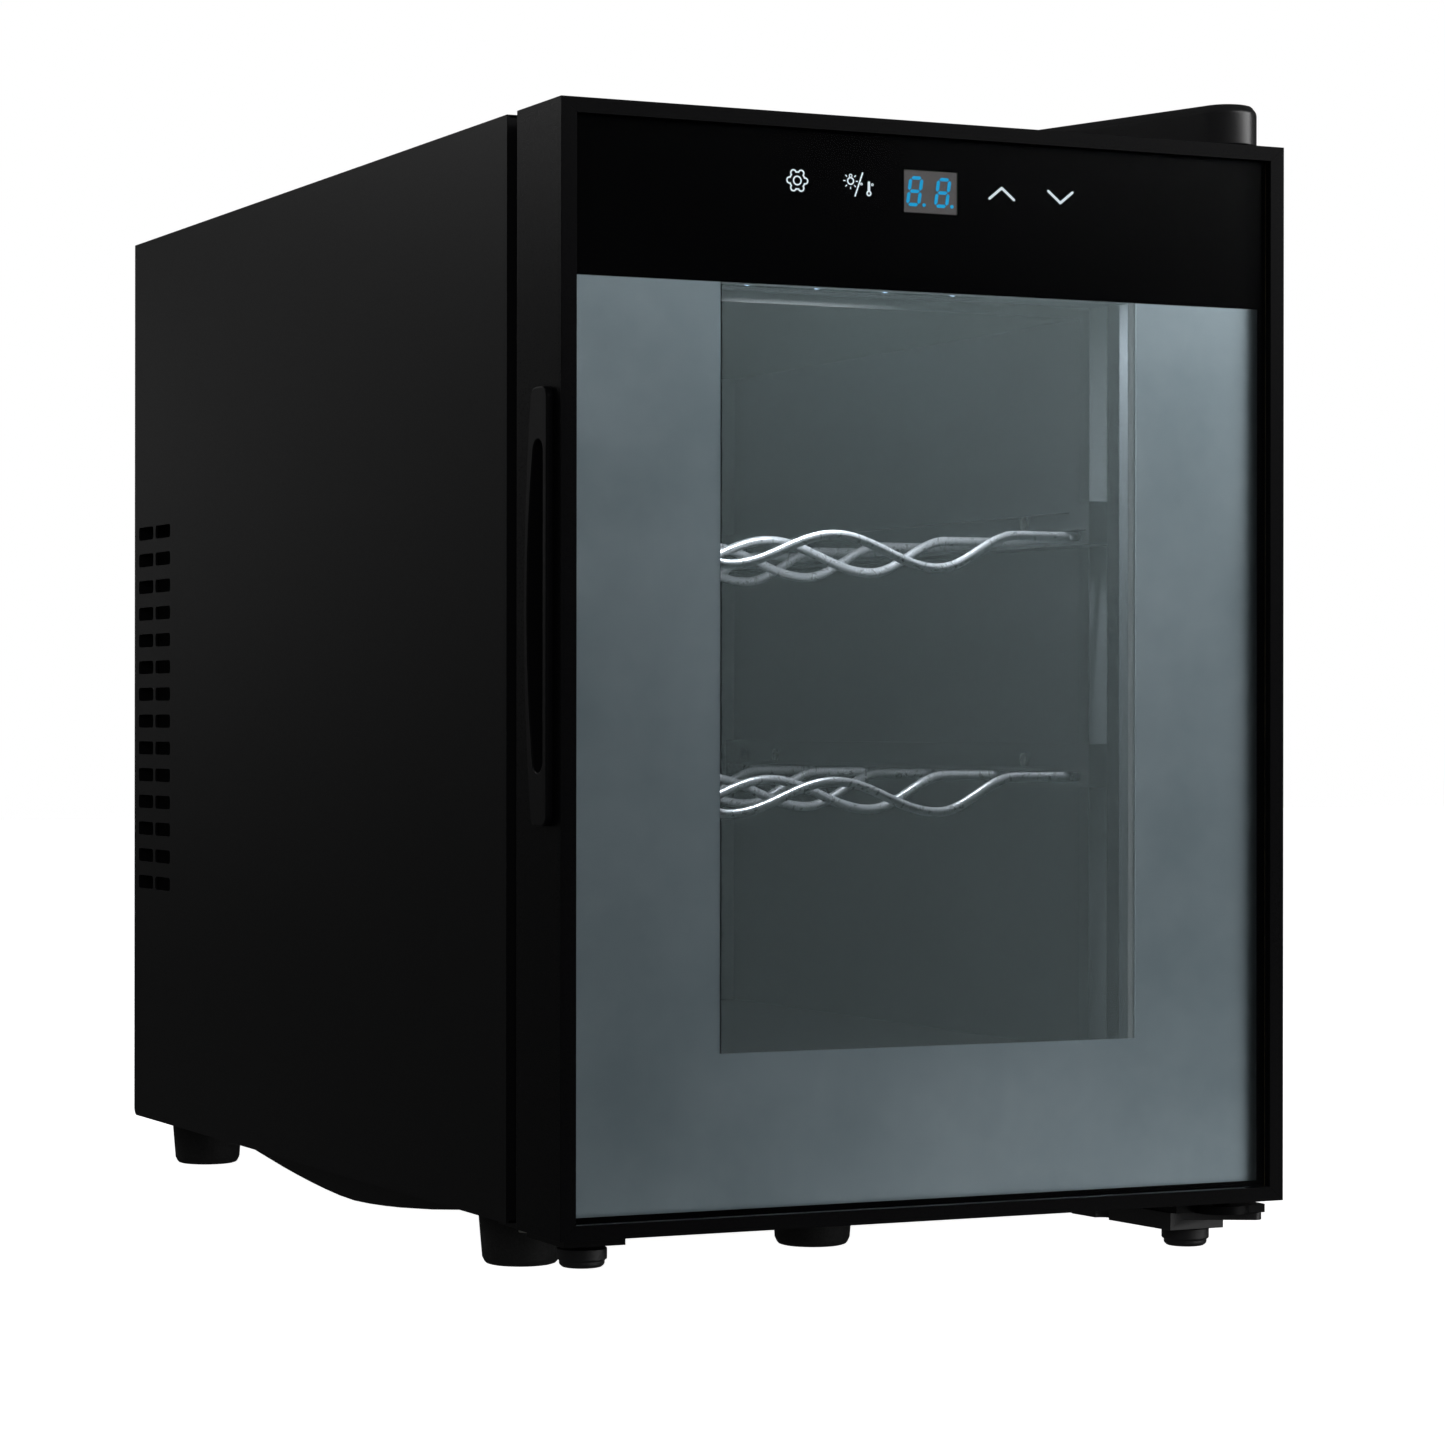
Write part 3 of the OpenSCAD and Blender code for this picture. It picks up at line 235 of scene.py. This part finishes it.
NODE_MATERIAL = {
    "left_side_panel": "shell", "right_side_panel": "shell", "top_panel": "shell_top", "base_pan": "shell",
    "throat_frame": "throat", "inner_liner": "liner", "foam_insulation": "foam", "door_foam": "foam",
    "rear_bulkhead": "galvanised", "rear_cover": "black", "cover_screws": "zinc", "cold_sink": "alloy",
    "hot_sink": "alloy", "inner_fan_cover": "liner", "inner_fan_frame": "fan", "inner_fan_rotor": "fan",
    "rear_fan_frame": "fan", "rear_fan_rotor": "fan", "thermoelectric_module": "ceramic",
    "module_gasket": "rubber", "sink_screws": "zinc", "fan_screws": "zinc", "power_board": "board",
    "board_pillars": "white", "power_inlet": "black", "lamp_board": "lamp", "lamp_lens": "diffuser",
    "thermistor": "white", "upper_shelf_rails": "rail", "lower_shelf_rails": "rail", "rail_screws": "zinc",
    "upper_shelf": "chrome", "lower_shelf": "chrome", "cabinet_feet": "rubber", "foot_screws": "zinc",
    "right_levelling_foot": "black", "left_levelling_foot": "black", "foot_bracket": "shell",
    "upper_hinge_bracket": "zinc", "upper_hinge_cover": "hinge", "lower_hinge_bracket": "shell",
    "lower_hinge_cover": "hinge", "hinge_screws": "zinc", "frame_left_stile": "frame",
    "frame_right_stile": "frame", "frame_top_rail": "frame", "frame_bottom_rail": "frame",
    "outer_glass": "door_glass", "control_band": "black_print", "border_print": "grey_print",
    "glazing_spacer": "spacer", "inner_glass": "clear_glass", "door_liner": "frame", "door_gasket": "rubber",
    "hinge_bushes": "white", "handle_insert": "handle", "control_board": "board",
    "display_module": "display", "display_digits": "digit", "touch_symbols": "symbol",
}


def paint(piece, key):
    piece.data.materials.clear()
    piece.data.materials.append(M[key])


for node, key in NODE_MATERIAL.items():
    paint(NODES[node], key)


# ---------------------------------------------------------------- finished meshes


def add_piece(name, mesh, node):
    """Puts a finished mesh in the place of a CAD node, on the same body and with the same finish."""
    piece = bpy.data.objects.new(name, mesh)
    bpy.context.scene.collection.objects.link(piece)
    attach(piece, BODY_OF[node])
    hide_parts(node)
    paint(piece, NODE_MATERIAL[node])
    return piece


def triangle_area(form):
    """The area of the faces once they are split into triangles, as they are when rendered."""
    return sum((b - a).cross(c - a).length / 2
               for a, b, c in ([loop.vert.co for loop in loops] for loops in form.calc_loop_triangles()))


def clean_copy(node):
    """The node's triangles joined into flat faces, unless a face has a hole that this would close."""
    form = bmesh.new()
    form.from_mesh(NODES[node].data)
    bmesh.ops.remove_doubles(form, verts=form.verts, dist=2e-6)
    area = triangle_area(form)
    joined = form.copy()
    bmesh.ops.dissolve_limit(joined, angle_limit=math.radians(0.6), verts=joined.verts, edges=joined.edges)
    if abs(triangle_area(joined) - area) < area * 1e-4:
        form.free()
        return joined
    joined.free()
    return form


def mesh_area(mesh):
    """The area of a finished mesh, split into triangles."""
    mesh.calc_loop_triangles()
    return sum(triangle.area for triangle in mesh.loop_triangles)


def rounded(name, form, width, segments, miter):
    """The form's mesh after its sharp edges are rounded and its normals are weighted to the large faces."""
    mesh = bpy.data.meshes.new(name)
    form.to_mesh(mesh)
    for polygon in mesh.polygons:
        polygon.use_smooth = True
    rough = bpy.data.objects.new(name + "_rough", mesh)
    bpy.context.scene.collection.objects.link(rough)
    bevel = rough.modifiers.new("round", "BEVEL")
    bevel.limit_method = "ANGLE"
    bevel.angle_limit = math.radians(28)
    bevel.width = width
    bevel.segments = segments
    bevel.use_clamp_overlap = True
    bevel.miter_outer = miter
    weight = rough.modifiers.new("weight", "WEIGHTED_NORMAL")
    weight.mode = "FACE_AREA"
    weight.weight = 90
    bpy.context.view_layer.update()
    done = bpy.data.meshes.new_from_object(rough.evaluated_get(bpy.context.evaluated_depsgraph_get()))
    bpy.data.objects.remove(rough)
    bpy.data.meshes.remove(mesh)
    return done


def soften(node, width, segments=2):
    """Replaces a node by a copy with rounded edges, trying gentler settings where a ring or rim would break."""
    plain = bmesh.new()
    plain.from_mesh(NODES[node].data)
    bmesh.ops.remove_doubles(plain, verts=plain.verts, dist=2e-6)
    area = triangle_area(plain)
    joined = clean_copy(node)
    for form, miter, share in ((joined, "MITER_ARC", 1), (joined, "MITER_SHARP", 1), (plain, "MITER_SHARP", 1),
                               (plain, "MITER_SHARP", 0.4)):
        done = rounded(node + "_finished", form, width * share, segments, miter)
        if 0.7 * area < mesh_area(done) < 1.003 * area:
            break
        print("softening", node, miter, share, "gives", round(mesh_area(done) / area, 4))
        bpy.data.meshes.remove(done)
        done = None
    joined.free()
    plain.free()
    return add_piece(node + "_finished", done, node) if done else None


ROUND_MM = {
    "left_side_panel": 0.35, "right_side_panel": 0.35, "top_panel": 0.35, "base_pan": 0.3,
    "rear_cover": 0.5, "throat_frame": 0.5, "inner_fan_cover": 0.5, "upper_shelf_rails": 0.4,
    "lower_shelf_rails": 0.4, "frame_left_stile": 0.45, "frame_right_stile": 0.45, "frame_top_rail": 0.45,
    "frame_bottom_rail": 0.45, "handle_insert": 0.7, "door_liner": 0.6, "door_gasket": 0.9,
    "outer_glass": 0.3, "inner_glass": 0.3, "glazing_spacer": 0.4, "upper_hinge_cover": 0.7,
    "lower_hinge_cover": 0.7, "lower_hinge_bracket": 0.35, "foot_bracket": 0.35, "cabinet_feet": 1.0,
    "right_levelling_foot": 0.5, "left_levelling_foot": 0.5, "power_inlet": 0.3, "lamp_lens": 0.4,
    "rear_fan_frame": 0.4, "inner_fan_frame": 0.4, "thermistor": 0.5,
}
for node, width in ROUND_MM.items():
    soften(node, width * MM)


# ---------------------------------------------------------------- the outer glass

COAT_DEPTH = 1 * MM
COAT_THICKNESS = 0.1 * MM
PRINT_GAP = 0.15 * MM


def window_coating():
    """The faint mirror coat inside the outer glass, over the clear window between the grey prints."""
    low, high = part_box("border_print")
    ring = NODES["border_print"].data
    middle = (low + high) / 2
    inner = [v.co for v in ring.vertices if abs(v.co.x - middle.x) < (high.x - low.x) * 0.45]
    left = min(c.x for c in inner)
    right = max(c.x for c in inner)
    sill = max(c.z for c in inner if c.z < middle.z)
    coat_y = low.y - COAT_DEPTH
    form = bmesh.new()
    bmesh.ops.create_cube(form, size=1.0)
    for vertex in form.verts:
        vertex.co = Vector(((left + right) / 2 + vertex.co.x * (right - left),
                            coat_y + vertex.co.y * COAT_THICKNESS,
                            (sill + high.z) / 2 + vertex.co.z * (high.z - sill)))
    mesh = bpy.data.meshes.new("window_coating")
    form.to_mesh(mesh)
    form.free()
    mesh.materials.append(M["coating"])
    coat = bpy.data.objects.new("window_coating", mesh)
    bpy.context.scene.collection.objects.link(coat)
    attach(coat, BODY_OF["outer_glass"])


def clear_of_print():
    """Draws the glass's back face a little clear of the print, which otherwise shows through it as speckle."""
    glass = bpy.data.objects["outer_glass_finished"].data
    back = max(v.co.y for v in glass.vertices)
    for vertex in glass.vertices:
        if vertex.co.y > back - 1 * MM:
            vertex.co.y -= PRINT_GAP


window_coating()
clear_of_print()


# ---------------------------------------------------------------- wire shelves

def skin(form, rings):
    """Joins rings of points into a closed skin with a flat cap at each end."""
    rows = [[form.verts.new(p) for p in ring] for ring in rings]
    count = len(rows[0])
    for lower, upper in zip(rows, rows[1:]):
        for j in range(count):
            form.faces.new((lower[j], lower[(j + 1) % count], upper[(j + 1) % count], upper[j]))
    form.faces.new(list(reversed(rows[0])))
    form.faces.new(rows[-1])


def tube(form, path, radius, flat, sides=18):
    """A round wire along a path that stays square to the direction flat, with domed ends."""
    def ring(middle, along, size):
        up = along.cross(flat).normalized()
        return [middle + size * (math.cos(a) * up + math.sin(a) * flat)
                for a in (2 * math.pi * j / sides for j in range(sides))]
    ways = [(path[min(i + 1, len(path) - 1)] - path[max(i - 1, 0)]).normalized() for i in range(len(path))]
    domes = [math.radians(a) for a in (75, 50, 25)]
    rings = [ring(path[0] + ways[0] * radius * (1 - math.sin(a)) * 0.6, ways[0], radius * math.cos(a))
             for a in domes]
    rings += [ring(p, w, radius) for p, w in list(zip(path, ways))[1:-1]]
    rings += [ring(path[-1] - ways[-1] * radius * (1 - math.sin(a)) * 0.6, ways[-1], radius * math.cos(a))
              for a in reversed(domes)]
    skin(form, rings)


def wave_z(x):
    """The height in millimetres of a wavy wire above the side wires, x millimetres from the middle."""
    valley, bend, drop, rise = 41.4, 73.6, 12.4, 11.2
    x = abs(x)
    if x < valley:
        return -drop + rise / 2 * (1 + math.cos(math.pi * x / valley))
    if x < bend:
        return -drop / 2 * (1 + math.cos(math.pi * (x - valley) / (bend - valley)))
    return 0.0


WIRE_RADIUS = 1.7 * MM
SIDE_WIRE_X = 98 * MM
WAVY_WIRES = 5
WAVY_PITCH = 53 * MM
WAVY_INSET = 2.2 * MM
WAVY_HALF = 97.4
WAVY_STEPS = 120
WELD_X = 96.6 * MM
WELD_SIZE = 1.22


def wire_shelf(node):
    """A shelf of wavy cross wires welded onto two straight side wires."""
    low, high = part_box(node)
    radius = WIRE_RADIUS
    level = high.z - radius
    middle = (low.x + high.x) / 2
    form = bmesh.new()
    for side in (-1, 1):
        x = middle + side * SIDE_WIRE_X
        steps = [low.y + (high.y - low.y) * i / 24 for i in range(25)]
        tube(form, [Vector((x, y, level)) for y in steps], radius, Vector((1, 0, 0)))
    for i in range(WAVY_WIRES):
        y = low.y + WAVY_INSET + i * WAVY_PITCH
        xs = [WAVY_HALF * (2 * k / WAVY_STEPS - 1) for k in range(WAVY_STEPS + 1)]
        path = [Vector((middle + x * MM, y, level + wave_z(x) * MM)) for x in xs]
        tube(form, path, radius, Vector((0, 1, 0)))
        for side in (-1, 1):
            bead = bmesh.ops.create_icosphere(form, subdivisions=3, radius=radius * WELD_SIZE)
            for vertex in bead["verts"]:
                vertex.co.y *= 1.25
                vertex.co.z *= 0.8
                vertex.co += Vector((middle + side * WELD_X, y, level))
    bmesh.ops.recalc_face_normals(form, faces=form.faces)
    mesh = bpy.data.meshes.new(node + "_wires")
    form.to_mesh(mesh)
    form.free()
    for polygon in mesh.polygons:
        polygon.use_smooth = True
    return add_piece(node + "_wires", mesh, node)


for node in ("upper_shelf", "lower_shelf"):
    wire_shelf(node)


# ---------------------------------------------------------------- the chamber's lamp

CHIPS = 4
CHIP_PITCH = 27 * MM
CHIP_RADIUS = 1.3 * MM
CHIP_LIFT = 1.15 * MM


def lamp_chips():
    """A row of lit domes inside the lamp cover, low enough to glint past the control band."""
    low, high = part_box("lamp_lens")
    middle = (low + high) / 2
    form = bmesh.new()
    for k in range(CHIPS):
        chip = bmesh.ops.create_uvsphere(form, u_segments=20, v_segments=10, radius=CHIP_RADIUS)
        for vertex in chip["verts"]:
            vertex.co.z *= 0.5
            vertex.co += Vector((middle.x + (k - (CHIPS - 1) / 2) * CHIP_PITCH, middle.y, low.z + CHIP_LIFT))
    mesh = bpy.data.meshes.new("lamp_chips")
    form.to_mesh(mesh)
    form.free()
    for polygon in mesh.polygons:
        polygon.use_smooth = True
    mesh.materials.append(M["led"])
    chips = bpy.data.objects.new("lamp_chips", mesh)
    bpy.context.scene.collection.objects.link(chips)
    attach(chips, BODY_OF["lamp_board"])


def chamber_light():
    """The light that the lamp throws down into the chamber; it stays with the cabinet."""
    low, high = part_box("lamp_lens")
    middle = (low + high) / 2
    light = softbox("chamber_lamp", (middle.x, middle.y, low.z - 1 * MM), (middle.x, middle.y, 0),
                    (0.06, 0.012), 0.5, (0.86, 0.93, 1.0))
    light.parent = frame["bodies"][BODY_OF["lamp_lens"]]


# ---------------------------------------------------------------- floor, light and camera

def camera():
    """The picture's own view: 25.4 degrees round to the left, level, with a long lens."""
    data = bpy.data.cameras.new("camera")
    data.sensor_width = 36
    data.lens = 101.48
    data.clip_end = 30
    eye = bpy.data.objects.new("camera", data)
    eye.location = (-0.6523, -1.4397, 0.1861)
    eye.rotation_euler = (math.radians(89.986), math.radians(-0.055), math.radians(-25.370))
    bpy.context.scene.collection.objects.link(eye)
    bpy.context.scene.camera = eye


def floor():
    """A pale table top, lit enough to fade into the white behind it."""
    material, tree, shader = new_material("pale_floor")
    shader.inputs["Roughness"].default_value = 0.9
    tint = blend_colours(tree, noise(tree, 2.0, 2.0), (0.93, 0.93, 0.93, 1), (0.96, 0.96, 0.96, 1))
    tree.links.new(tint, shader.inputs["Base Color"])
    shader.inputs["Emission Color"].default_value = (1, 1, 1, 1)
    shader.inputs["Emission Strength"].default_value = 1.0
    mesh = bpy.data.meshes.new("floor")
    half = 6.0
    mesh.from_pydata([(-half, -half, 0), (half, -half, 0), (half, half, 0), (-half, half, 0)],
                     [], [(0, 1, 2, 3)])
    plane = bpy.data.objects.new("floor", mesh)
    plane.data.materials.append(material)
    plane.visible_glossy = False
    plane.visible_diffuse = False
    bpy.context.scene.collection.objects.link(plane)


def softbox(name, place, target, size, power, colour=(1, 1, 1)):
    """An even rectangular lamp at place, facing target."""
    data = bpy.data.lights.new(name, "AREA")
    data.shape = "RECTANGLE"
    data.size, data.size_y = size
    data.energy = power
    data.color = colour
    lamp = bpy.data.objects.new(name, data)
    lamp.location = place
    aim = Vector(target) - Vector(place)
    lamp.rotation_euler = aim.to_track_quat("-Z", "Y").to_euler()
    bpy.context.scene.collection.objects.link(lamp)
    return lamp


def light_sheet(name, place, target, size, low, high, tilt, band):
    """A lit sheet, seen only in reflections, that brightens smoothly along tilt degrees from its own x."""
    material = bpy.data.materials.new(name)
    material.use_nodes = True
    tree = material.node_tree
    tree.nodes.clear()
    where = tree.nodes.new("ShaderNodeTexCoord")
    turn = tree.nodes.new("ShaderNodeVectorRotate")
    turn.rotation_type = "Z_AXIS"
    turn.inputs["Angle"].default_value = -math.radians(tilt)
    split = tree.nodes.new("ShaderNodeSeparateXYZ")
    ramp = tree.nodes.new("ShaderNodeMapRange")
    ramp.interpolation_type = "SMOOTHERSTEP"
    ramp.inputs["From Min"].default_value, ramp.inputs["From Max"].default_value = band
    ramp.inputs["To Min"].default_value, ramp.inputs["To Max"].default_value = low, high
    lit = tree.nodes.new("ShaderNodeEmission")
    final = tree.nodes.new("ShaderNodeOutputMaterial")
    tree.links.new(where.outputs["Object"], turn.inputs["Vector"])
    tree.links.new(turn.outputs["Vector"], split.inputs["Vector"])
    tree.links.new(split.outputs["X"], ramp.inputs["Value"])
    tree.links.new(ramp.outputs["Result"], lit.inputs["Strength"])
    tree.links.new(lit.outputs["Emission"], final.inputs["Surface"])
    half_x, half_y = size[0] / 2, size[1] / 2
    mesh = bpy.data.meshes.new(name)
    mesh.from_pydata([(-half_x, -half_y, 0), (half_x, -half_y, 0), (half_x, half_y, 0), (-half_x, half_y, 0)],
                     [], [(0, 1, 2, 3)])
    material.cycles.emission_sampling = "NONE"
    mesh.materials.append(material)
    sheet = bpy.data.objects.new(name, mesh)
    sheet.location = place
    sheet.rotation_euler = (Vector(target) - Vector(place)).to_track_quat("Z", "Y").to_euler()
    sheet.visible_camera = False
    sheet.visible_diffuse = False
    sheet.visible_shadow = False
    sheet.visible_transmission = False
    bpy.context.scene.collection.objects.link(sheet)


def studio():
    """Soft light from above and the left, and the sheets that the glossy faces reflect."""
    world = bpy.data.worlds.new("studio")
    world.use_nodes = True
    bpy.context.scene.world = world
    tree = world.node_tree
    ground = tree.nodes["Background"]
    path = tree.nodes.new("ShaderNodeLightPath")
    level = tree.nodes.new("ShaderNodeMix")
    level.inputs["A"].default_value = 0.06
    level.inputs["B"].default_value = 1.0
    tree.links.new(path.outputs["Is Camera Ray"], level.inputs["Factor"])
    tree.links.new(level.outputs["Result"], ground.inputs["Strength"])
    ground.inputs["Color"].default_value = (1, 1, 1, 1)
    top = softbox("top_box", (-0.2, -0.6, 2.0), (0, 0, 0.2), (2.0, 2.0), 12)
    top.visible_glossy = False
    front = softbox("front_box", (-1.25, -2.5, 0.75), (0, -0.1, 0.2), (0.9, 0.9), 26)
    front.visible_glossy = False
    light_sheet("front_sheet", (1.17, -2.44, 0.42), (0, -0.23, 0.2), (4.8, 2.6), 0.16, 5.5, 118, (0.05, 1.0))
    light_sheet("side_sheet", (-1.33, 1.96, 1.02), (-0.14, -0.1, 0.25), (0.7, 0.8), 0.0, 5.2, 60, (-0.4, 0.4))
    light_sheet("back_sheet", (-0.66, 2.84, 0.25), (-0.14, 0.2, 0.2), (0.5, 0.8), 0.0, 0.5, 90, (-0.5, 0.5))
    light_sheet("low_sheet", (1.21, -2.33, -0.45), (0, -0.23, 0.2), (2.4, 0.9), 0.0, 2.0, -120, (-0.4, 0.4))


camera()
floor()
studio()
lamp_chips()
chamber_light()

bpy.context.scene.view_settings.view_transform = "Standard"
bpy.context.view_layer.update()
